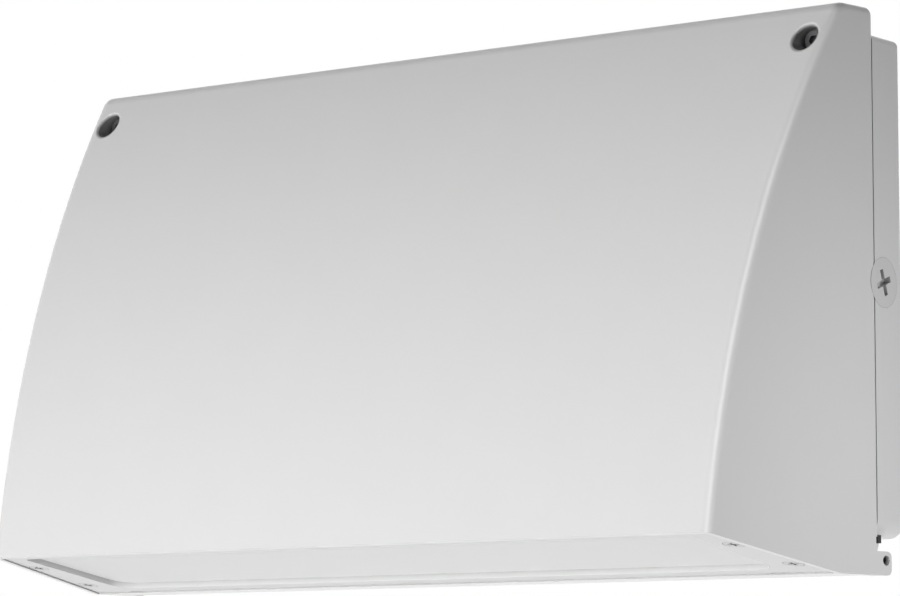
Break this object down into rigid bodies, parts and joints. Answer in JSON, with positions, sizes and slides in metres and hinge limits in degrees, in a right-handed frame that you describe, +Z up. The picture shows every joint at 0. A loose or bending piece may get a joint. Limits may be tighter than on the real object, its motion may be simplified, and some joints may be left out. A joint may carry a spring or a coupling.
{
  "type": "wall pack light",
  "caption": "Outdoor wall light: a curved die-cast front with a flat lens underneath, hinged at the bottom of a shallow back box that is fixed to the wall.",
  "frame": {"origin": "centre of the back box's wall face, where it meets the wall", "axes": "+Y into the wall, along the outward normal of the wall face; +Z up; +X to the light's right as the row is seen from the front, along its width"},
  "size_m": [0.409, 0.1248, 0.2327],
  "materials": {
    "box_coating": "fine textured powder coat",
    "housing_coating": "fine textured powder coat",
    "frame_coating": "fine textured powder coat",
    "frame_screw_coating": "painted screw heads",
    "plug_coating": "powder coat, slightly duller",
    "gasket_rubber": "smooth moulded silicone",
    "pad_rubber": "matt moulded rubber",
    "terminal_plastic": "moulded",
    "screw_steel": "zinc-plated steel",
    "pin_steel": "turned stainless steel",
    "earth_green": "green plated screw",
    "lens_glass": "frosted, diffusing",
    "reflector_white": "white gloss enamel",
    "board_white": "white solder mask",
    "emitter_yellow": "phosphor",
    "connector_white": "moulded",
    "driver_black": "moulded case",
    "connector_orange": "moulded"
  },
  "bodies": {
    "back": {"back_box": "box_coating", "box_gasket": "gasket_rubber", "buffer_pads": "pad_rubber", "conduit_plug_right": "plug_coating", "conduit_plug_left": "plug_coating", "conduit_plug_top": "plug_coating", "terminal_block": "terminal_plastic", "terminal_screws": "screw_steel", "ground_screw": "earth_green"},
    "cover": {"front_housing": "housing_coating", "hinge_pin_right": "pin_steel", "hinge_pin_left": "pin_steel", "lens_frame": "frame_coating", "lens": "lens_glass", "lens_seal": "gasket_rubber", "frame_screws": "frame_screw_coating", "reflector": "reflector_white", "led_board_right": "board_white", "led_board_left": "board_white", "led_emitters": "emitter_yellow", "board_connectors": "connector_white", "board_screws": "screw_steel", "led_driver": "driver_black", "driver_screws": "screw_steel", "supply_connector": "connector_orange"},
    "washer_right": {"lock_washer_right": "screw_steel"},
    "washer_left": {"lock_washer_left": "screw_steel"},
    "screw_right": {"lock_screw_right": "screw_steel"},
    "screw_left": {"lock_screw_left": "screw_steel"}
  },
  "joints": [
    {"name": "cover_hinge", "type": "hinge", "parent": "back", "child": "cover", "pos_m": [0, -0.0168, -0.1126], "axis": [1, 0, 0], "range_deg": [0, 95]},
    {"name": "lock_screw_right_out", "type": "slide", "parent": "cover", "child": "washer_right", "axis": [0, -1, 0], "range_m": [0, 0.0065]},
    {"name": "lock_screw_right_turn", "type": "hinge", "parent": "washer_right", "child": "screw_right", "pos_m": [0.1891, -0.0405, 0.0983], "axis": [0, -1, 0], "range_deg": [0, 2926]},
    {"name": "lock_screw_left_out", "type": "slide", "parent": "cover", "child": "washer_left", "axis": [0, -1, 0], "range_m": [0, 0.0065]},
    {"name": "lock_screw_left_turn", "type": "hinge", "parent": "washer_left", "child": "screw_left", "pos_m": [-0.1891, -0.0405, 0.0983], "axis": [0, -1, 0], "range_deg": [0, 2926]}
  ],
  "couplings": [
    {"joint": "lock_screw_right_turn", "follows": "lock_screw_right_out", "rad_per_m": 7854},
    {"joint": "lock_screw_left_turn", "follows": "lock_screw_left_out", "rad_per_m": 7854}
  ]
}
